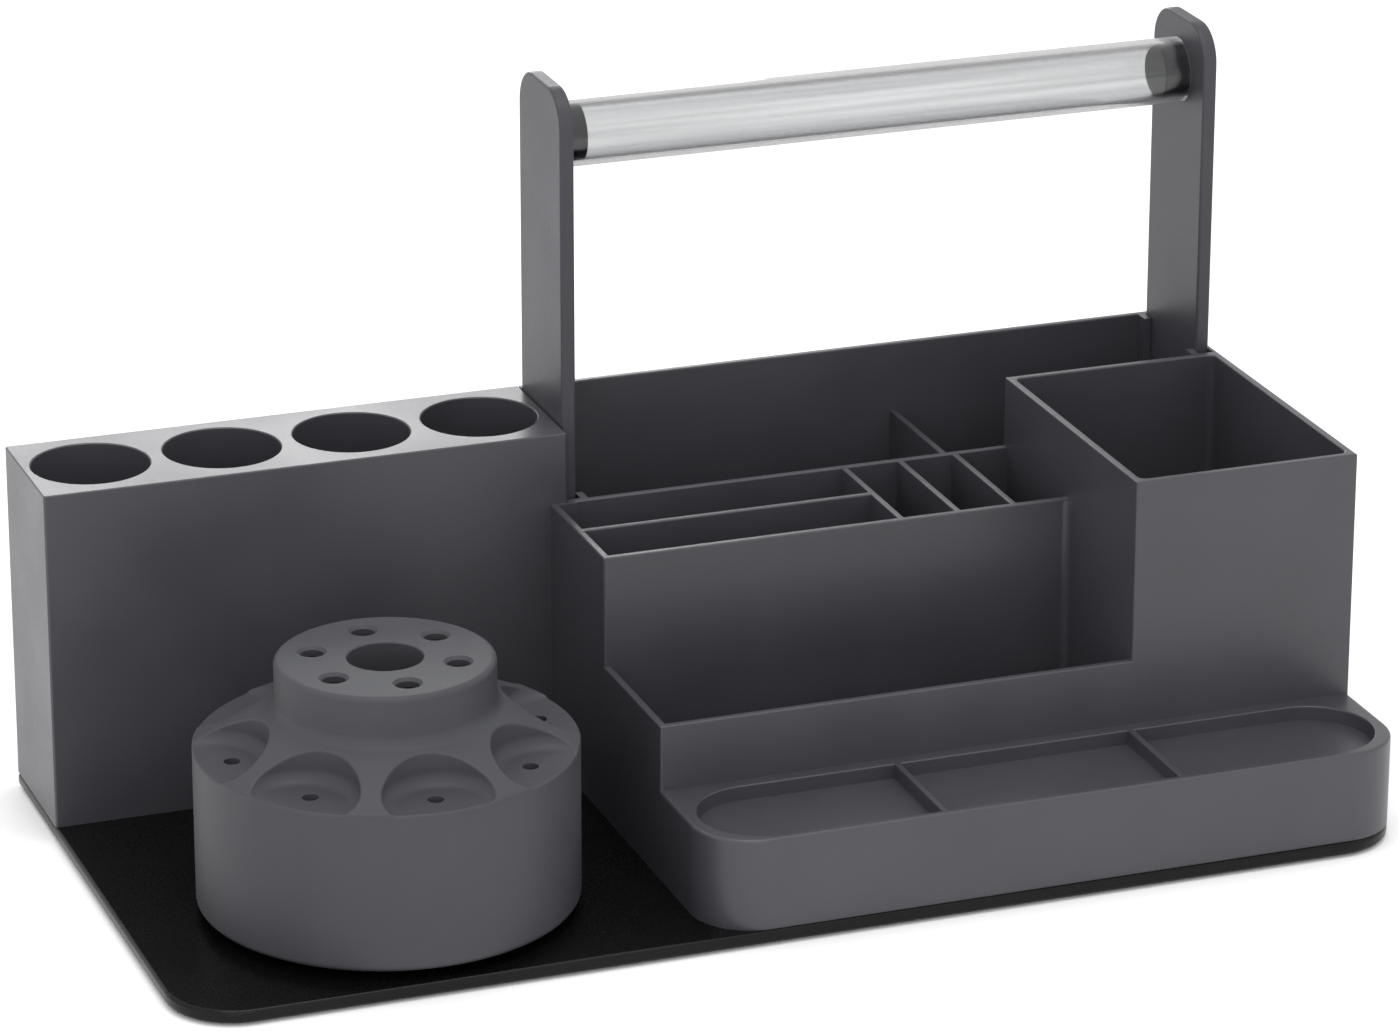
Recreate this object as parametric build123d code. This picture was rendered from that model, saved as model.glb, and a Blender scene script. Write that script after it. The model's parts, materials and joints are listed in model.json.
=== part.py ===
from build123d import *
from math import cos, radians, sin
import os

# Desk organizer with a carrying handle, in millimetres.
# +X runs to the right along the front, +Y to the back, +Z up.
# The origin is under the middle of the base plate, on the surface it stands on.

# Base plate and feet
base_length = 330.0
base_depth = 165.0
base_thickness = 3.6
base_corner_radius = 18.0
base_back_radius = 2.0
base_top_round = 1.0
base_bottom_round = 1.3
foot_radius = 6.0
foot_thickness = 1.5
foot_proud = 0.5
foot_end_distance = 25.0
foot_side_distance = 14.0

# Gaps and walls shared by the mouldings
edge_inset = 0.2
front_inset = 1.0
wall = 2.0
seat_gap = 0.3
joint_overlap = 0.5
rim_round = 0.4
corner_round = 0.6
shortest_rim = 5.0
tolerance = 0.01

# Heights of the rims above the underside of the base plate
tray_rim_height = 28.1
low_rim_height = 45.8
middle_rim_height = 76.0
tall_rim_height = 95.4
upright_height = 186.0

# Layout, from the left edge and the front edge of the base plate
organizer_start = 136.6
tall_bin_start = 267.0
low_bin_front = 39.1
middle_bin_front = 82.0
back_row_front = 124.4
cell_dividers = (219.8, 235.9, 251.8)
lengthwise_divider = 103.8
back_divider = 249.2
divider_thickness = 1.8

# Small-parts tray
tray_corner_radius = 16.0
tray_recess_depth = 4.0
tray_recess_front = 3.2
tray_recess_back = 35.5
tray_recess_end_gap = 3.6
tray_walls = (200.1, 265.6)
tray_edge_round = 0.9

# Bottle rack
rack_length = 141.0
rack_hole_radius = 15.5
rack_hole_count = 4
rack_sleeve_wall = 1.5
rack_boss_height = 24.0
hole_edge = 0.3

# Uprights and handle
upright_thickness = 3.9
upright_width = 33.4
upright_corner_radius = 10.0
upright_edge_round = 0.7
upright_boss_radius = 7.4
upright_boss_length = 7.0
upright_boss_round = 0.5
upright_foot_length = 12.0
upright_foot_width = 24.0
upright_foot_height = 5.8
upright_hole_roof = 0.8
tube_radius = 9.0
tube_wall = 1.5
tube_height = 170.8
tube_end_gap = 0.1
rib_length = 4.4
corner_wall = 1.2
right_guard = 1.2

# Bins: space under their raised floors, rounding of their inside corners
floor_raise = 8.0
bin_corner_round = 2.0
corner_fill_drop = 0.6

# Rotating tool caddy
caddy_from_left = 67.7
caddy_from_front = 50.2
caddy_radius = 48.7
caddy_bottom_height = 6.1
caddy_rim_height = 48.2
caddy_neck_height = 58.0
caddy_top_height = 70.4
caddy_neck_radius = 27.9
caddy_wall = 2.4
caddy_bottom_round = 1.6
caddy_rim_round = 0.8
caddy_neck_round = 3.5
caddy_top_round = 1.4
caddy_well_radius = 9.6
caddy_well_wall = 1.6
sleeve_seat_depth = 0.6
sleeve_seat_gap = 0.05
top_hole_radius = 3.0
top_hole_edge = 0.8
top_hole_circle = 18.7
top_hole_count = 6
top_hole_start = 30.0
pocket_count = 8
pocket_radius = 15.0
pocket_circle = 46.0
pocket_floor_height = 47.8
pocket_floor_round = 3.5
pocket_edge_round = 0.6
pocket_hole_radius = 2.1
pocket_hole_circle = 40.2
cover_thickness = 3.0
cover_recess = 1.0
cover_gap = 0.2
cover_screw_circle = 42.4
cover_screw_count = 4
cover_screw_start = 22.5
cap_seam_height = 61.0
cap_inner_radius = 24.0
cap_spigot_height = 3.0
cap_spigot_gap = 0.1

# Turntable
race_circle = 33.0
ball_radius = 1.5
ball_count = 18
race_clearance = 0.05
turntable_radius = 39.0
turntable_thickness = 2.0
turntable_round = 0.8
hub_radius = 20.0
hub_gap = 0.3
pivot_radius = 6.0
pivot_clearance = 0.05
pivot_step = 0.2
washer_radius = 8.4
washer_thickness = 1.0
turntable_screw_circle = 14.0
turntable_screw_count = 3
turntable_screw_start = 90.0
cage_thickness = 0.9
cage_half_width = 3.4
cage_hole_clearance = 0.12

# Screws of the organizer, from the left edge and the front edge of the base plate
organizer_screw_layout = (
    (152.6, 20.0), (280.0, 20.0), (196.6, 60.5), (156.6, 103.2), (298.4, 103.2), (236.7, 144.6),
)

# Screws: pan head with a cross recess
screw_radius = 1.4
screw_head_radius = 2.7
screw_head_height = 1.6
screw_length = 7.0
upright_screw_length = 6.0
short_screw_length = 4.0
screw_hole_clearance = 0.05
screw_pass_clearance = 0.25
head_clearance = 0.5
head_recess_depth = 1.9
boss_radius = 3.4
boss_inset = 2.6
head_round_share = 0.45
recess_length_share = 1.1
recess_width_share = 0.3
recess_height_share = 1.2
pivot_screw_radius = 2.0
pivot_head_radius = 4.0
pivot_head_height = 2.4
pivot_screw_length = 5.5

# Places worked out from the driving dimensions
left = -base_length / 2
right = base_length / 2
front = -base_depth / 2
back = base_depth / 2
base_bottom = foot_proud
base_top = base_bottom + base_thickness
floor_top = base_top + floor_raise
floor_under = floor_top - wall
tray_rim = base_bottom + tray_rim_height
low_rim = base_bottom + low_rim_height
middle_rim = base_bottom + middle_rim_height
tall_rim = base_bottom + tall_rim_height
upright_top = base_bottom + upright_height
tube_axis_z = base_bottom + tube_height

organizer_left = left + organizer_start
organizer_right = right - edge_inset
organizer_front = front + front_inset
organizer_back = back - edge_inset
tall_left = left + tall_bin_start
low_front = front + low_bin_front
middle_front = front + middle_bin_front
row_front = front + back_row_front
row_inside_front = row_front + wall
row_inside_back = organizer_back - wall

outer_corners = [
    (organizer_left, low_front),
    (organizer_left, middle_front),
    (tall_left, low_front),
]
recess_left = organizer_left + tray_recess_end_gap
recess_right = organizer_right - tray_recess_end_gap
recess_front = front + tray_recess_front
recess_back = front + tray_recess_back

rack_left = left + edge_inset
rack_right = rack_left + rack_length
rack_pitch = rack_length / rack_hole_count
rack_middle_y = (row_front + organizer_back) / 2

upright_back = row_inside_back - edge_inset
upright_front = upright_back - upright_width
upright_middle_y = (upright_front + upright_back) / 2
left_upright_outer = rack_right + seat_gap
left_upright_inner = left_upright_outer + upright_thickness
right_upright_outer = organizer_right - right_guard - tube_end_gap
right_upright_inner = right_upright_outer - upright_thickness
row_left = left_upright_inner + edge_inset
row_right = right_upright_inner - edge_inset

caddy_x = left + caddy_from_left
caddy_y = front + caddy_from_front
caddy_bottom = base_bottom + caddy_bottom_height
caddy_rim = base_bottom + caddy_rim_height
caddy_neck = base_bottom + caddy_neck_height
caddy_top = base_bottom + caddy_top_height
cap_seam = base_bottom + cap_seam_height
cap_under = caddy_top - caddy_wall
pocket_floor = base_bottom + pocket_floor_height
cover_bottom = caddy_bottom + cover_recess
cover_top = cover_bottom + cover_thickness
turntable_top = base_top + turntable_thickness
hub_top = cover_bottom - hub_gap
ball_z = (turntable_top + cover_bottom) / 2
pivot_top = cover_top + pivot_step
shelf_under = pocket_floor - caddy_wall
sleeve_radius = caddy_well_radius + caddy_well_wall

low_corner = (Align.MIN, Align.MIN, Align.MIN)
on_floor = (Align.CENTER, Align.CENTER, Align.MIN)
hung_down = (Align.CENTER, Align.CENTER, Align.MAX)


def block(x0, x1, y0, y1, z0, z1):
    """A box between two opposite corners."""
    return Pos(x0, y0, z0) * Box(x1 - x0, y1 - y0, z1 - z0, align=low_corner)


def rod(x, y, z0, z1, radius):
    """An upright cylinder from z0 to z1."""
    return Pos(x, y, z0) * Cylinder(radius, z1 - z0, align=on_floor)


def ring_places(count, radius, start=0.0):
    """Centres of count places evenly spaced on a circle round the caddy's axis."""
    angles = [radians(start + 360.0 * index / count) for index in range(count)]
    return [(caddy_x + radius * cos(angle), caddy_y + radius * sin(angle)) for angle in angles]


def lathe(outline):
    """A solid turned round the caddy's axis from (radius, height) points."""
    face = make_face(Polyline([(radius, 0, height) for radius, height in outline], close=True))
    return Pos(caddy_x, caddy_y, 0) * revolve(face, Axis.Z)


def flare(x, y, top, radius, depth=hole_edge):
    """The countersink at the mouth of a round hole, as wide as it is deep."""
    return Pos(x, y, top) * Cone(radius, radius + depth, depth, align=hung_down)


def round_circles(solid, height, radius):
    """The solid with its circular edges at the given height rounded."""
    circles = solid.edges().filter_by(GeomType.CIRCLE)
    return fillet(circles.filter_by(lambda edge: abs(edge.center().Z - height) < tolerance), radius)


def rims(solid, height):
    """The solid's long level edges at the given height."""
    edges = solid.edges().filter_by(lambda edge: edge.length > shortest_rim)
    return edges.filter_by(
        lambda edge: abs(edge.bounding_box().min.Z - height) < tolerance
        and abs(edge.bounding_box().max.Z - height) < tolerance
    )


def screw(x, y, seat_z, radius, length, head_radius, head_height, upward=True):
    """A pan-head screw whose head bears on seat_z, with its shank going up or down."""
    shank = Cylinder(radius, length, align=on_floor)
    head = Pos(0, 0, -head_height) * Cylinder(head_radius, head_height, align=on_floor)
    head = fillet(head.edges().group_by(Axis.Z)[0], head_height * head_round_share)
    slot = Box(
        head_radius * recess_length_share, head_radius * recess_width_share, head_height * recess_height_share
    )
    recess = Pos(0, 0, -head_height) * (slot + Rot(0, 0, 90) * slot)
    body = shank + head - recess
    if not upward:
        body = Rot(180, 0, 0) * body
    return Pos(x, y, seat_z) * body


rack_screw_places = [
    (rack_left + rack_pitch * step, y)
    for step in (1, 3)
    for y in (row_front + wall + boss_inset, organizer_back - wall - boss_inset)
]
organizer_screw_places = [(left + x, front + y) for x, y in organizer_screw_layout]
upright_foot_middles = [
    left_upright_inner + upright_foot_length / 2,
    right_upright_inner - upright_foot_length / 2,
]
upright_screw_places = [
    (x, upright_middle_y + offset)
    for x in upright_foot_middles
    for offset in (-upright_foot_width / 4, upright_foot_width / 4)
]
turntable_screw_places = ring_places(
    turntable_screw_count, turntable_screw_circle, turntable_screw_start
)
cover_screw_places = ring_places(cover_screw_count, cover_screw_circle, cover_screw_start)
foot_places = [
    (x, y)
    for x in (left + foot_end_distance, 0.0, right - foot_end_distance)
    for y in (front + foot_side_distance, back - foot_side_distance)
]
screw_seat = base_bottom + head_recess_depth
foot_pocket_depth = foot_thickness - foot_proud


def base_plate():
    """Thin plate with round front corners, pockets for the feet and sunk screw holes from below."""
    plate = block(left, right, front, back, base_bottom, base_top)
    plate = fillet(plate.edges().filter_by(Axis.Z).group_by(Axis.Y)[0], base_corner_radius)
    plate = fillet(plate.edges().filter_by(Axis.Z).group_by(Axis.Y)[-1], base_back_radius)
    plate = fillet(plate.edges().group_by(Axis.Z)[-1], base_top_round)
    plate = fillet(plate.edges().group_by(Axis.Z)[0], base_bottom_round)
    places = rack_screw_places + organizer_screw_places + upright_screw_places + turntable_screw_places
    for x, y in places:
        plate -= rod(x, y, base_bottom, base_top, screw_radius + screw_pass_clearance)
        plate -= rod(x, y, base_bottom, screw_seat, screw_head_radius + head_clearance)
    for x, y in foot_places:
        plate -= rod(x, y, base_bottom, base_bottom + foot_pocket_depth, foot_radius + screw_hole_clearance)
    return plate


def anti_slip_feet():
    """Rubber discs seated in the underside of the base plate."""
    feet = []
    for x, y in foot_places:
        foot = rod(x, y, 0.0, foot_thickness, foot_radius)
        feet.append(chamfer(foot.edges().group_by(Axis.Z)[0], foot_proud / 2))
    return feet


def screw_boss(x, y, top):
    """A round boss that stands on the base plate round a pilot hole."""
    return rod(x, y, base_top, top, boss_radius)


def pilot_hole(x, y):
    """A blind hole for the shank of a screw that comes up through the base plate."""
    hole_top = screw_seat + screw_length + seat_gap
    return rod(x, y, base_top, hole_top, screw_radius + screw_hole_clearance)


def bottle_rack():
    """Long box with four round sleeves, open below and closed there by the base plate."""
    box = block(rack_left, rack_right, row_front, organizer_back, base_top, tall_rim)
    box = fillet(box.edges().filter_by(Axis.Z), corner_round)
    box = fillet(box.edges().group_by(Axis.Z)[-1], rim_round)
    inside = block(
        rack_left + wall, rack_right - wall, row_inside_front, row_inside_back, base_top, tall_rim - wall
    )
    rack = box - inside
    centres = [rack_left + rack_pitch * (index + 0.5) for index in range(rack_hole_count)]
    for x in centres:
        rack += rod(x, rack_middle_y, base_top, tall_rim - wall, rack_hole_radius + rack_sleeve_wall)
    for x, y in rack_screw_places:
        rack += screw_boss(x, y, base_top + rack_boss_height)
    for x in centres:
        rack -= rod(x, rack_middle_y, base_top, tall_rim, rack_hole_radius)
        rack -= flare(x, rack_middle_y, tall_rim, rack_hole_radius)
    for x, y in rack_screw_places:
        rack -= pilot_hole(x, y)
    return rack


def organizer_blocks():
    """The stepped outside of the organizer, still solid, with its upright corners rounded."""
    tray = block(organizer_left, organizer_right, organizer_front, low_front, base_top, tray_rim)
    tray = fillet(tray.edges().filter_by(Axis.Z).group_by(Axis.Y)[0], tray_corner_radius)
    tray = fillet(tray.edges().group_by(Axis.Z)[-1].group_by(Axis.Y)[:-1], tray_edge_round)
    low = block(organizer_left, tall_left, low_front, middle_front, base_top, low_rim)
    middle = block(organizer_left, tall_left, middle_front, row_front, base_top, middle_rim)
    tall = block(tall_left, organizer_right, low_front, row_inside_front, base_top, tall_rim)
    row = block(row_left, organizer_right, row_front, organizer_back, base_top, middle_rim)
    blocks = tray + low + middle + tall + row
    corners = blocks.edges().filter_by(Axis.Z).filter_by(
        lambda edge: any(
            abs(edge.center().X - x) < tolerance and abs(edge.center().Y - y) < tolerance
            for x, y in outer_corners
        )
    )
    return fillet(corners, corner_round)


def tray_recess():
    """Shallow recess with half-round ends, cut into three by cross walls."""
    floor = tray_rim - tray_recess_depth
    middle = Pos((recess_left + recess_right) / 2, (recess_front + recess_back) / 2, floor)
    outline = SlotOverall(recess_right - recess_left, recess_back - recess_front)
    recess = middle * extrude(outline, tray_recess_depth)
    half = divider_thickness / 2
    for offset in tray_walls:
        x = left + offset
        recess -= block(x - half, x + half, recess_front, recess_back, floor, tray_rim)
    return recess


def organizer_cells():
    """The open-topped spaces of the bins."""
    half = divider_thickness / 2
    dividers = [left + offset for offset in cell_dividers]
    lengthwise = front + lengthwise_divider
    behind = left + back_divider
    cell_front = middle_front + wall
    inner_left = organizer_left + wall
    cells = block(inner_left, tall_left, low_front + wall, middle_front, floor_top, tall_rim)
    cells += block(inner_left, dividers[0] - half, cell_front, lengthwise - half, floor_top, tall_rim)
    cells += block(inner_left, dividers[0] - half, lengthwise + half, row_front, floor_top, tall_rim)
    starts = [divider + half for divider in dividers]
    ends = [divider - half for divider in dividers[1:]] + [tall_left]
    for start, end in zip(starts, ends):
        cells += block(start, end, cell_front, row_front, floor_top, tall_rim)
    tall = block(
        tall_left + wall, organizer_right - wall, low_front + wall, row_front, floor_top, tall_rim
    )
    cells += fillet(tall.edges().filter_by(Axis.Z), bin_corner_round)
    cells += block(row_left, behind - half, row_inside_front, row_inside_back, floor_top, tall_rim)
    cells += block(behind + half, row_right, row_inside_front, row_inside_back, floor_top, tall_rim)
    return cells


def corner_fill(x, y, z0, z1):
    """The rounding in an upright inside corner, between a wall on its right and one behind it."""
    fill = block(x - bin_corner_round, x + joint_overlap, y - bin_corner_round, y + joint_overlap, z0, z1)
    return fill - rod(x - bin_corner_round, y - bin_corner_round, z0, z1, bin_corner_round)


def organizer_underside():
    """Hollows below the raised floors and the tray, closed by the base plate."""
    inner_left = organizer_left + wall
    inner_right = organizer_right - wall
    tray_under = tray_rim - tray_recess_depth - wall
    tray = block(inner_left, inner_right, organizer_front + wall, low_front, base_top, tray_under)
    tray = fillet(tray.edges().filter_by(Axis.Z).group_by(Axis.Y)[0], tray_corner_radius - wall)
    low = block(inner_left, tall_left, low_front + wall, middle_front, base_top, floor_under)
    middle = block(inner_left, tall_left, middle_front + wall, row_front, base_top, floor_under)
    tall = block(tall_left + wall, inner_right, low_front + wall, row_front, base_top, floor_under)
    row = block(row_left, row_right, row_inside_front, row_inside_back, base_top, floor_under)
    slot = block(row_right, organizer_right - right_guard, row_inside_front, row_inside_back, base_top, tall_rim)
    return [tray, low, middle, tall, row, slot]


def organizer_body():
    """One stepped moulding: tray, low bin, divided middle bin, tall bin and back row."""
    body = organizer_blocks()
    body += block(left_upright_outer, organizer_right, row_front, row_inside_front, base_top, middle_rim)
    body += block(left_upright_outer, organizer_right, row_inside_back, organizer_back, base_top, tall_rim)
    body += block(
        organizer_right - right_guard, organizer_right, row_front, organizer_back, base_top, tall_rim
    )
    body -= organizer_cells()
    body += block(
        organizer_left, left_upright_outer + wall, row_front - corner_wall, row_front, base_top, middle_rim
    )
    body -= tray_recess()
    for hollow in organizer_underside():
        body -= hollow
    for x, front_rib_top in ((row_left, middle_rim), (row_right - wall, tall_rim)):
        body += block(
            x, x + wall, row_inside_front, row_inside_front + rib_length, floor_under, front_rib_top
        )
        body += block(x, x + wall, row_inside_back - rib_length, row_inside_back, floor_under, tall_rim)
    for x, y in organizer_screw_places:
        top = tray_rim - tray_recess_depth - wall if y < low_front else floor_under
        body += screw_boss(x, y, top)
        body -= pilot_hole(x, y)
    recess_rims = rims(body, tray_rim).filter_by_position(Axis.X, recess_left, recess_right)
    recess_rims = recess_rims.filter_by_position(Axis.Y, recess_front, recess_back)
    body = fillet(recess_rims, rim_round)
    for height in (low_rim, middle_rim, tall_rim):
        body = fillet(rims(body, height), rim_round)
    return body + corner_fill(tall_left, middle_front, floor_under, middle_rim - corner_fill_drop)


def upright(outer_x, inward):
    """Tall plate with round top corners, a boss for the tube and a screwed foot at its base."""
    lower = block(0, upright_thickness, upright_front, upright_back, base_top, upright_top)
    lower = fillet(lower.edges().filter_by(Axis.X).group_by(Axis.Z)[-1], upright_corner_radius)
    outline = lower.faces().filter_by(Axis.X).edges()
    outline = outline.filter_by(lambda edge: edge.center().Z > base_top + upright_edge_round)
    lower = fillet(outline, upright_edge_round)
    boss_axis = Pos(upright_thickness, upright_middle_y, tube_axis_z) * Rot(0, 90, 0)
    boss = boss_axis * Cylinder(upright_boss_radius, upright_boss_length, align=on_floor)
    boss = fillet(boss.edges().group_by(Axis.X)[-1], upright_boss_round)
    y0 = upright_middle_y - upright_foot_width / 2
    y1 = upright_middle_y + upright_foot_width / 2
    x0 = upright_thickness - joint_overlap
    x1 = upright_thickness + upright_foot_length
    foot = block(x0, x1, y0, y1, base_top, base_top + upright_foot_height)
    plate = lower + boss + foot
    if inward < 0:
        plate = mirror(plate, Plane.YZ)
    plate = Pos(outer_x, 0, 0) * plate
    hole_top = base_top + upright_foot_height - upright_hole_roof
    for x, y in upright_screw_places:
        plate -= rod(x, y, base_top, hole_top, screw_radius + screw_hole_clearance)
    return plate


def handle_tube():
    """Clear tube held between the uprights on their bosses."""
    length = right_upright_inner - left_upright_inner - 2 * tube_end_gap
    axis = Pos(left_upright_inner + tube_end_gap, upright_middle_y, tube_axis_z) * Rot(0, 90, 0)
    tube = Cylinder(tube_radius, length, align=on_floor)
    tube -= Cylinder(tube_radius - tube_wall, length, align=on_floor)
    return axis * tube


def caddy_outside():
    """Drum with a sloping shoulder and a short collar, edges rounded, still solid."""
    drum = lathe([
        (0, caddy_bottom), (caddy_radius, caddy_bottom), (caddy_radius, caddy_rim),
        (caddy_neck_radius, caddy_neck), (caddy_neck_radius, cap_seam), (0, cap_seam),
    ])
    drum = round_circles(drum, caddy_bottom, caddy_bottom_round)
    drum = round_circles(drum, caddy_rim, caddy_rim_round)
    return round_circles(drum, caddy_neck, caddy_neck_round)


def caddy_pocket(x, y):
    """Vertical scoop with a rounded floor, cut into the sloping shoulder."""
    scoop = rod(x, y, pocket_floor, caddy_top, pocket_radius)
    return fillet(scoop.edges().group_by(Axis.Z)[0], pocket_floor_round)


def pocket_edges(drum):
    """The rising edges along which the scoops meet the shoulder."""
    long_edges = drum.edges().filter_by(lambda edge: edge.length > shortest_rim)
    above_rim = long_edges.filter_by(lambda edge: edge.bounding_box().min.Z > caddy_rim)
    return above_rim.filter_by(lambda edge: edge.bounding_box().size.Z > caddy_rim_round)


def caddy_drum():
    """Rotating tool holder below the cap, hollow from below, with scoops on its shoulder."""
    drum = caddy_outside()
    for x, y in ring_places(pocket_count, pocket_circle):
        drum -= caddy_pocket(x, y)
    drum = fillet(pocket_edges(drum), pocket_edge_round)
    inner_radius = caddy_radius - caddy_wall
    drum -= rod(caddy_x, caddy_y, caddy_bottom, shelf_under, inner_radius)
    drum -= rod(caddy_x, caddy_y, caddy_bottom, cap_seam, caddy_neck_radius - caddy_wall)
    for x, y in cover_screw_places:
        boss = rod(x, y, cover_top, shelf_under + joint_overlap, boss_radius)
        drum += boss & rod(caddy_x, caddy_y, cover_top, caddy_rim, inner_radius + joint_overlap)
    for x, y in ring_places(pocket_count, pocket_hole_circle):
        drum -= rod(x, y, caddy_bottom, caddy_rim, pocket_hole_radius)
    for x, y in cover_screw_places:
        drum -= rod(x, y, cover_top, cover_top + screw_length, screw_radius + screw_hole_clearance)
    return drum


def caddy_cap():
    """Top of the caddy's neck, with six tool holes, a centre well and a spigot in the collar."""
    spigot_radius = caddy_neck_radius - caddy_wall - cap_spigot_gap
    spigot_bottom = cap_seam - cap_spigot_height
    cap = lathe([
        (cap_inner_radius, spigot_bottom), (spigot_radius, spigot_bottom), (spigot_radius, cap_seam),
        (caddy_neck_radius, cap_seam), (caddy_neck_radius, caddy_top), (0, caddy_top),
        (0, cap_under), (cap_inner_radius, cap_under),
    ])
    cap = round_circles(cap, caddy_top, caddy_top_round)
    cap -= rod(caddy_x, caddy_y, cap_under, caddy_top, caddy_well_radius)
    cap -= rod(caddy_x, caddy_y, cap_under, cap_under + sleeve_seat_depth, sleeve_radius + sleeve_seat_gap)
    cap -= flare(caddy_x, caddy_y, caddy_top, caddy_well_radius)
    for x, y in ring_places(top_hole_count, top_hole_circle, top_hole_start):
        cap -= rod(x, y, cap_under, caddy_top, top_hole_radius)
        cap -= flare(x, y, caddy_top, top_hole_radius, top_hole_edge)
    return cap


def well_sleeve():
    """Tube that lines the centre well, seated in the bottom cover and in the cap."""
    z0 = cover_top - sleeve_seat_depth
    z1 = cap_under + sleeve_seat_depth
    sleeve = rod(caddy_x, caddy_y, z0, z1, sleeve_radius)
    return sleeve - rod(caddy_x, caddy_y, z0, z1, caddy_well_radius)


def race_groove(clearance):
    """Ring that the balls roll in, swept round the caddy's axis."""
    return Pos(caddy_x, caddy_y, ball_z) * Torus(race_circle, ball_radius + clearance)


def caddy_bottom_cover():
    """Round floor of the caddy, with the upper ball race and the pivot bore."""
    radius = caddy_radius - caddy_wall - cover_gap
    cover = rod(caddy_x, caddy_y, cover_bottom, cover_top, radius)
    cover -= rod(caddy_x, caddy_y, cover_bottom, cover_top, pivot_radius + pivot_clearance)
    cover -= rod(caddy_x, caddy_y, cover_top - sleeve_seat_depth, cover_top, sleeve_radius + sleeve_seat_gap)
    cover -= race_groove(race_clearance)
    for x, y in cover_screw_places:
        cover -= rod(x, y, cover_bottom, cover_top, screw_radius + screw_pass_clearance)
        cover -= rod(x, y, cover_bottom, cover_bottom + head_recess_depth, screw_head_radius + head_clearance)
    return cover


def turntable_base():
    """Fixed disc with the lower ball race, a raised hub and the pivot post."""
    disc = rod(caddy_x, caddy_y, base_top, turntable_top, turntable_radius)
    disc = fillet(disc.edges().group_by(Axis.Z)[-1], turntable_round)
    disc += rod(caddy_x, caddy_y, base_top, hub_top, hub_radius)
    disc += rod(caddy_x, caddy_y, base_top, pivot_top, pivot_radius)
    disc -= race_groove(race_clearance)
    for x, y in turntable_screw_places:
        hole_top = screw_seat + short_screw_length + screw_hole_clearance
        disc -= rod(x, y, base_top, hole_top, screw_radius + screw_hole_clearance)
    hole_bottom = pivot_top + washer_thickness - pivot_screw_length - seat_gap
    disc -= rod(caddy_x, caddy_y, hole_bottom, pivot_top, pivot_screw_radius + screw_hole_clearance)
    return disc


def ball_cage():
    """Flat ring that keeps the balls apart."""
    z0 = ball_z - cage_thickness / 2
    z1 = ball_z + cage_thickness / 2
    cage = rod(caddy_x, caddy_y, z0, z1, race_circle + cage_half_width)
    cage -= rod(caddy_x, caddy_y, z0, z1, race_circle - cage_half_width)
    for x, y in ring_places(ball_count, race_circle):
        cage -= rod(x, y, z0, z1, ball_radius + cage_hole_clearance)
    return cage


def bearing_balls():
    """Steel balls between the two races."""
    return [Pos(x, y, ball_z) * Sphere(ball_radius) for x, y in ring_places(ball_count, race_circle)]


def pivot_washer():
    """Washer on the pivot post that keeps the caddy from lifting off."""
    washer = rod(caddy_x, caddy_y, pivot_top, pivot_top + washer_thickness, washer_radius)
    hole_radius = pivot_screw_radius + screw_hole_clearance
    return washer - rod(caddy_x, caddy_y, pivot_top, pivot_top + washer_thickness, hole_radius)


def pivot_screw():
    """Screw down into the pivot post."""
    return screw(
        caddy_x, caddy_y, pivot_top + washer_thickness, pivot_screw_radius, pivot_screw_length,
        pivot_head_radius, pivot_head_height, upward=False,
    )


def base_screws(places, length):
    """Identical screws that come up through the base plate."""
    return [
        screw(x, y, screw_seat, screw_radius, length, screw_head_radius, screw_head_height)
        for x, y in places
    ]


def caddy_screws():
    """Screws that hold the bottom cover in the drum."""
    seat = cover_bottom + head_recess_depth
    return [
        screw(x, y, seat, screw_radius, screw_length, screw_head_radius, screw_head_height)
        for x, y in cover_screw_places
    ]


nodes = {
    "base_plate": base_plate(),
    "anti_slip_feet": anti_slip_feet(),
    "organizer_body": organizer_body(),
    "bottle_rack": bottle_rack(),
    "upright_left": upright(left_upright_outer, 1),
    "upright_right": upright(right_upright_outer, -1),
    "handle_tube": handle_tube(),
    "organizer_screws": base_screws(organizer_screw_places, screw_length),
    "rack_screws": base_screws(rack_screw_places, screw_length),
    "upright_screws": base_screws(upright_screw_places, upright_screw_length),
    "turntable_base": turntable_base(),
    "turntable_screws": base_screws(turntable_screw_places, short_screw_length),
    "ball_cage": ball_cage(),
    "bearing_balls": bearing_balls(),
    "pivot_washer": pivot_washer(),
    "pivot_screw": pivot_screw(),
    "caddy_drum": caddy_drum(),
    "caddy_cap": caddy_cap(),
    "well_sleeve": well_sleeve(),
    "caddy_bottom_cover": caddy_bottom_cover(),
    "caddy_screws": caddy_screws(),
}

os.makedirs("parts", exist_ok=True)
for name, shape in nodes.items():
    solid = Compound(children=shape) if isinstance(shape, list) else shape
    export_step(solid, f"parts/{name}.step")
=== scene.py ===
import json
import math

import bpy
from mathutils import Matrix, Vector

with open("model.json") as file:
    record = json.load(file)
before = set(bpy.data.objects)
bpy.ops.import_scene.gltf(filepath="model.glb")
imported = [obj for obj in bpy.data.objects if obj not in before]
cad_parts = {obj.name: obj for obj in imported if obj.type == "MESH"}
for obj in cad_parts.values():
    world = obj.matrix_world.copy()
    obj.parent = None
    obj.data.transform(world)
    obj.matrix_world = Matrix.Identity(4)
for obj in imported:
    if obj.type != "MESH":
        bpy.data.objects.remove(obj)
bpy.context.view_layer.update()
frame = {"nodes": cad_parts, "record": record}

MM = 0.001
NODES = frame["nodes"]

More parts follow.
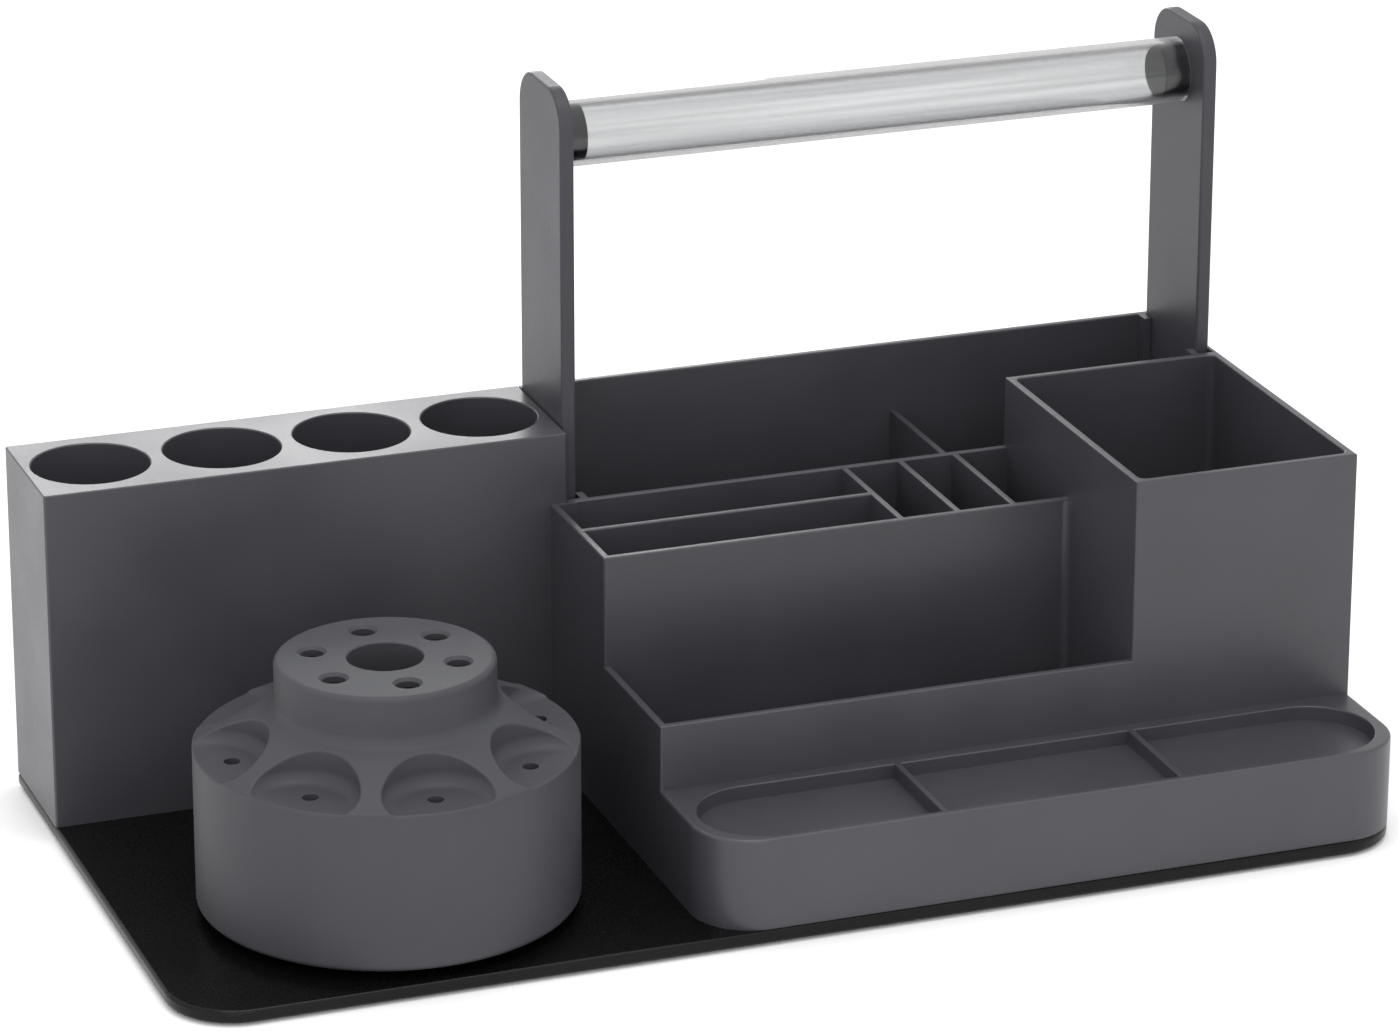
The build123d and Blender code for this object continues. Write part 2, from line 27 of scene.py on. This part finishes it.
# Camera: where it stands (metres), how it is turned (degrees) and its lens (millimetres)
CAMERA_PLACE = Vector((-0.5079, -1.3784, 0.6356))
CAMERA_YAW = 20.87
CAMERA_PITCH = -20.09
CAMERA_ROLL = 0.32
CAMERA_LENS = 156.2
CAMERA_SENSOR = 36.0
CAMERA_SHIFT = (-0.0513, -0.0356)
CAMERA_REACH = 20.0

# Light: the white world's strength, and each softbox's place, width and height (metres) and power (watts)
WORLD_STRENGTH = 0.97
LIGHT_AIM = Vector((0.0, 0.0, 0.05))
SOFTBOXES = {
    "back_box": ((0.25, 1.9, 0.58), 0.9, 0.55, 8.0),
    "side_box": ((-1.8, -0.6, 0.9), 1.2, 1.2, 2.0),
    "front_box": ((-0.4, -1.9, 1.2), 1.6, 1.2, 6.5),
    "top_box": ((0.0, -0.2, 1.7), 0.9, 0.9, 9.0),
}

# Floor
FLOOR_HALF = 6.0
FLOOR_DROP = 0.1 * MM
FLOOR_GLOW = 0.06
FLOOR_DARK = (0.93, 0.93, 0.93)
FLOOR_LIGHT = (0.95, 0.95, 0.95)

# Moulded plastic: base colours, how far the mottling strays from them, and the rubbed edges
BODY_COLOUR = (0.0500, 0.0495, 0.0585)
CADDY_COLOUR = (0.0550, 0.0555, 0.0635)
BASE_COLOUR = (0.0035, 0.0035, 0.0037)
ACETAL_COLOUR = (0.010, 0.010, 0.0105)
MOTTLE_DARK = 0.94
MOTTLE_LIGHT = 1.07
RUBBED_LIFT = 0.030
RUBBED_WIDTH = 0.7 * MM
PLASTIC_IOR = 1.5

# Clear tube: colours of its draw lines, of the painted shade in the band towards each side and of the
# darker painted shade at the outermost edge, and how fast the acrylic takes light away, per metre
TUBE_DARK = (0.65, 0.653, 0.656)
TUBE_LIGHT = (0.86, 0.865, 0.87)
TUBE_SIDE_PAINTED_SHADE = (0.67, 0.673, 0.678)
TUBE_EDGE_PAINTED_SHADE = (0.45, 0.45, 0.46)
TUBE_IOR = 1.49
TUBE_ABSORPTION = 40.0

# Rubber and steel
RUBBER_COLOUR = (0.014, 0.014, 0.014)
RUBBER_DUST = (0.03, 0.03, 0.029)
STEEL_DARK = (0.45, 0.46, 0.47)
STEEL_LIGHT = (0.62, 0.63, 0.64)

# Sockets of a colour Mix node
MIX_FIRST = 6
MIX_SECOND = 7
MIX_RESULT = 2


# ---------------------------------------------------------------- node helpers

class Shader:
    """A material's node tree with a Principled surface and short calls to add nodes."""

    def __init__(self, name):
        self.material = bpy.data.materials.new(name)
        self.material.use_nodes = True
        self.tree = self.material.node_tree
        self.surface = self.tree.nodes["Principled BSDF"]

    def node(self, kind, **settings):
        made = self.tree.nodes.new(kind)
        for key, value in settings.items():
            setattr(made, key, value)
        return made

    def link(self, source, target):
        self.tree.links.new(source, target)

    def drive(self, name, source):
        """Links a socket to the surface's input of that name."""
        self.link(source, self.surface.inputs[name])

    def set(self, **values):
        for key, value in values.items():
            self.surface.inputs[key.replace("_", " ")].default_value = value

    def position(self, stretch=(1.0, 1.0, 1.0)):
        """Object coordinates in metres, stretched along each axis."""
        coordinates = self.node("ShaderNodeTexCoord")
        mapping = self.node("ShaderNodeMapping")
        mapping.inputs["Scale"].default_value = stretch
        self.link(coordinates.outputs["Object"], mapping.inputs["Vector"])
        return mapping.outputs["Vector"]

    def noise(self, scale, detail, roughness=0.5, stretch=(1.0, 1.0, 1.0)):
        """Noise whose features are about 1/scale metres across."""
        texture = self.node("ShaderNodeTexNoise")
        texture.inputs["Scale"].default_value = scale
        texture.inputs["Detail"].default_value = detail
        texture.inputs["Roughness"].default_value = roughness
        self.link(self.position(stretch), texture.inputs["Vector"])
        return texture.outputs["Fac"]

    def remap(self, source, to_low=0.0, to_high=1.0, low=0.3, high=0.7):
        """Source from low..high, clamped, spread over to_low..to_high."""
        spread = self.node("ShaderNodeMapRange")
        spread.inputs["From Min"].default_value = low
        spread.inputs["From Max"].default_value = high
        spread.inputs["To Min"].default_value = to_low
        spread.inputs["To Max"].default_value = to_high
        self.link(source, spread.inputs["Value"])
        return spread.outputs["Result"]

    def math(self, operation, first, second):
        """Two sockets or numbers put together by one operation."""
        made = self.node("ShaderNodeMath", operation=operation)
        for socket, value in zip(made.inputs, (first, second)):
            if isinstance(value, float):
                socket.default_value = value
            else:
                self.link(value, socket)
        return made.outputs["Value"]

    def mix(self, factor, first, second):
        """A colour between first and second, each a colour or a socket."""
        made = self.node("ShaderNodeMix", data_type="RGBA")
        self.link(factor, made.inputs["Factor"])
        for number, value in ((MIX_FIRST, first), (MIX_SECOND, second)):
            if isinstance(value, tuple):
                made.inputs[number].default_value = (*value, 1.0)
            else:
                self.link(value, made.inputs[number])
        return made.outputs[MIX_RESULT]

    def edges(self, radius):
        """0 on flat faces, rising to 1 along edges and corners."""
        bevel = self.node("ShaderNodeBevel", samples=4)
        bevel.inputs["Radius"].default_value = radius
        geometry = self.node("ShaderNodeNewGeometry")
        dot = self.node("ShaderNodeVectorMath", operation="DOT_PRODUCT")
        self.link(bevel.outputs["Normal"], dot.inputs[0])
        self.link(geometry.outputs["Normal"], dot.inputs[1])
        return self.remap(dot.outputs["Value"], low=0.995, high=0.80)

    def bump(self, height, distance, strength, below=None):
        """A bumped normal, on top of the normal below where one is given."""
        made = self.node("ShaderNodeBump")
        made.inputs["Strength"].default_value = strength
        made.inputs["Distance"].default_value = distance
        self.link(height, made.inputs["Height"])
        if below is not None:
            self.link(below, made.inputs["Normal"])
        return made.outputs["Normal"]


# ---------------------------------------------------------------- materials

def moulded_plastic(name, colour, roughness, wear=0.35, gloss=0.5):
    """Moulded plastic with an eroded fine grain, faint flow marks and rubbed edges."""
    shader = Shader(name)
    mottle = shader.noise(scale=38.0, detail=4.0)
    flow = shader.noise(scale=9.0, detail=2.0)
    speck = shader.noise(scale=1500.0, detail=2.0)
    patches = shader.remap(mottle, 0.5, 1.0, low=0.35, high=0.65)
    edge = shader.math("MULTIPLY", shader.edges(RUBBED_WIDTH), patches)
    dark = tuple(channel * MOTTLE_DARK for channel in colour)
    light = tuple(channel * MOTTLE_LIGHT for channel in colour)
    rubbed = tuple(channel + RUBBED_LIFT for channel in colour)
    plain = shader.mix(shader.remap(mottle), dark, light)
    shader.drive("Base Color", shader.mix(shader.math("MULTIPLY", edge, wear), plain, rubbed))
    patchy = shader.math("ADD", shader.remap(mottle, -0.03, 0.03), shader.remap(flow, -0.02, 0.02))
    fine = shader.math("ADD", patchy, shader.remap(speck, -0.03, 0.03))
    shader.drive("Roughness", shader.math("ADD", fine, roughness))
    grain = shader.noise(scale=2600.0, detail=3.0, roughness=0.6)
    grain_normal = shader.bump(grain, distance=0.03 * MM, strength=0.45)
    shader.drive("Normal", shader.bump(flow, distance=0.10 * MM, strength=0.25, below=grain_normal))
    shader.set(IOR=PLASTIC_IOR, Specular_IOR_Level=gloss)
    return shader.material


def clear_acrylic():
    """Extruded clear tube with faint draw lines along its length, and painted shade that darkens its sides
    where it is seen edge-on.
    """
    shader = Shader("clear_acrylic")
    lines = shader.noise(scale=16.0, detail=2.0, stretch=(0.6, 30.0, 30.0))
    # Painted shade: towards the sides, where the tube is seen edge-on, the colour turns to darker greys and
    # less light passes through or reflects, in place of the dark rim that refraction and the longer path
    # through the wall give.
    turned = shader.node("ShaderNodeLayerWeight")
    turned.inputs["Blend"].default_value = 0.5
    side_shade_mask = shader.remap(turned.outputs["Facing"], low=0.06, high=0.22)
    edge = shader.remap(turned.outputs["Facing"], low=0.35, high=0.9)
    lines_and_side_shade = shader.mix(side_shade_mask, shader.mix(shader.remap(lines), TUBE_DARK, TUBE_LIGHT), TUBE_SIDE_PAINTED_SHADE)
    shader.drive("Base Color", shader.mix(edge, lines_and_side_shade, TUBE_EDGE_PAINTED_SHADE))
    shader.drive("Transmission Weight", shader.remap(edge, 1.0, 0.25, low=0.0, high=1.0))
    shader.drive("Specular IOR Level", shader.remap(edge, 0.5, 0.04, low=0.0, high=0.6))
    shader.drive("Roughness", shader.remap(lines, 0.05, 0.10))
    shader.drive("Normal", shader.bump(lines, distance=0.04 * MM, strength=0.25))
    shader.set(IOR=TUBE_IOR)
    haze = shader.node("ShaderNodeVolumeAbsorption")
    haze.inputs["Color"].default_value = (0.0, 0.0, 0.0, 1.0)
    haze.inputs["Density"].default_value = TUBE_ABSORPTION
    shader.link(haze.outputs["Volume"], shader.tree.nodes["Material Output"].inputs["Volume"])
    return shader.material


def rubber():
    """Matt black rubber with a dusty bloom."""
    shader = Shader("foot_rubber")
    dust = shader.noise(scale=700.0, detail=4.0)
    dusty = shader.remap(dust, low=0.35, high=0.75)
    shader.drive("Base Color", shader.mix(dusty, RUBBER_COLOUR, RUBBER_DUST))
    shader.drive("Roughness", shader.remap(dust, 0.75, 0.9))
    shader.drive("Normal", shader.bump(dust, distance=0.03 * MM, strength=0.4))
    return shader.material


def plated_steel():
    """Zinc-plated steel with fine scratches."""
    shader = Shader("plated_steel")
    scratches = shader.noise(scale=900.0, detail=3.0, stretch=(1.0, 6.0, 1.0))
    shader.drive("Base Color", shader.mix(shader.remap(scratches), STEEL_DARK, STEEL_LIGHT))
    shader.drive("Roughness", shader.remap(scratches, 0.24, 0.38))
    shader.drive("Normal", shader.bump(scratches, distance=0.01 * MM, strength=0.3))
    shader.set(Metallic=1.0)
    return shader.material


def pale_floor():
    """Plain matt white ground with a faint glow, which keeps its shadows light."""
    shader = Shader("pale_floor")
    tone = shader.noise(scale=3.0, detail=2.0)
    colour = shader.mix(shader.remap(tone), FLOOR_DARK, FLOOR_LIGHT)
    shader.drive("Base Color", colour)
    shader.drive("Emission Color", colour)
    shader.set(Roughness=1.0, Specular_IOR_Level=0.0, Emission_Strength=FLOOR_GLOW)
    return shader.material


# One material for each slot of the record, and one more for the two uprights
MATERIALS = {
    "dark_body": moulded_plastic("dark_body_abs", BODY_COLOUR, roughness=0.36),
    "upright": moulded_plastic("upright_abs", BODY_COLOUR, roughness=0.40, gloss=0.28),
    "caddy_grey": moulded_plastic("caddy_abs", CADDY_COLOUR, roughness=0.52, gloss=0.26),
    "black_base": moulded_plastic("black_base_abs", BASE_COLOUR, roughness=0.28, wear=0.05, gloss=0.2),
    "black_plastic": moulded_plastic("black_acetal", ACETAL_COLOUR, roughness=0.36, wear=0.1),
    "foot_rubber": rubber(),
    "clear_tube": clear_acrylic(),
    "steel": plated_steel(),
}


def dress_cad_nodes():
    """Gives each CAD node its slot's material, and the uprights theirs."""
    for entry in frame["record"]["subparts"]:
        node = entry["node"]
        piece = NODES[node]
        slot_name = "upright" if node in ("upright_left", "upright_right") else entry["material_slot"]
        if not piece.material_slots:
            piece.data.materials.append(MATERIALS[slot_name])
        for slot in piece.material_slots:
            slot.material = MATERIALS[slot_name]


# ---------------------------------------------------------------- floor, light and camera

def add_floor():
    """A large level ground plane, a hair below the feet."""
    half = FLOOR_HALF
    mesh = bpy.data.meshes.new("floor")
    corners = [(x, y, -FLOOR_DROP) for x, y in ((-half, -half), (half, -half), (half, half), (-half, half))]
    mesh.from_pydata(corners, [], [(0, 1, 2, 3)])
    mesh.materials.append(pale_floor())
    floor = bpy.data.objects.new("floor", mesh)
    bpy.context.collection.objects.link(floor)


def add_softbox(name, place, width, height, power):
    """A rectangular area light that faces the object and isn't seen through the clear tube."""
    light = bpy.data.lights.new(name, "AREA")
    light.shape = "RECTANGLE"
    light.size = width
    light.size_y = height
    light.energy = power
    lamp = bpy.data.objects.new(name, light)
    lamp.location = place
    lamp.rotation_euler = (LIGHT_AIM - Vector(place)).to_track_quat("-Z", "Y").to_euler()
    lamp.visible_transmission = False
    bpy.context.collection.objects.link(lamp)


def add_lights():
    """Softboxes behind, at the left, in front and above, and an even white world."""
    for name, (place, width, height, power) in SOFTBOXES.items():
        add_softbox(name, place, width, height, power)
    world = bpy.data.worlds.new("studio")
    world.use_nodes = True
    background = world.node_tree.nodes["Background"]
    background.inputs["Color"].default_value = (1.0, 1.0, 1.0, 1.0)
    background.inputs["Strength"].default_value = WORLD_STRENGTH
    bpy.context.scene.world = world


def add_camera():
    """The camera, from its place, turn and lens."""
    yaw, pitch, roll = (math.radians(angle) for angle in (CAMERA_YAW, CAMERA_PITCH, CAMERA_ROLL))
    ahead = Vector((math.sin(yaw) * math.cos(pitch), math.cos(yaw) * math.cos(pitch), math.sin(pitch)))
    level = Vector((math.cos(yaw), -math.sin(yaw), 0.0))
    upright = level.cross(ahead)
    across = level * math.cos(roll) + upright * math.sin(roll)
    up = upright * math.cos(roll) - level * math.sin(roll)
    turn = Matrix((across, up, -ahead)).transposed().to_4x4()
    data = bpy.data.cameras.new("camera")
    data.sensor_width = CAMERA_SENSOR
    data.lens = CAMERA_LENS
    data.shift_x, data.shift_y = CAMERA_SHIFT
    data.clip_end = CAMERA_REACH
    camera = bpy.data.objects.new("camera", data)
    camera.matrix_world = Matrix.Translation(CAMERA_PLACE) @ turn
    bpy.context.collection.objects.link(camera)
    bpy.context.scene.camera = camera


dress_cad_nodes()
add_floor()
add_lights()
add_camera()
bpy.context.scene.view_settings.view_transform = "Standard"
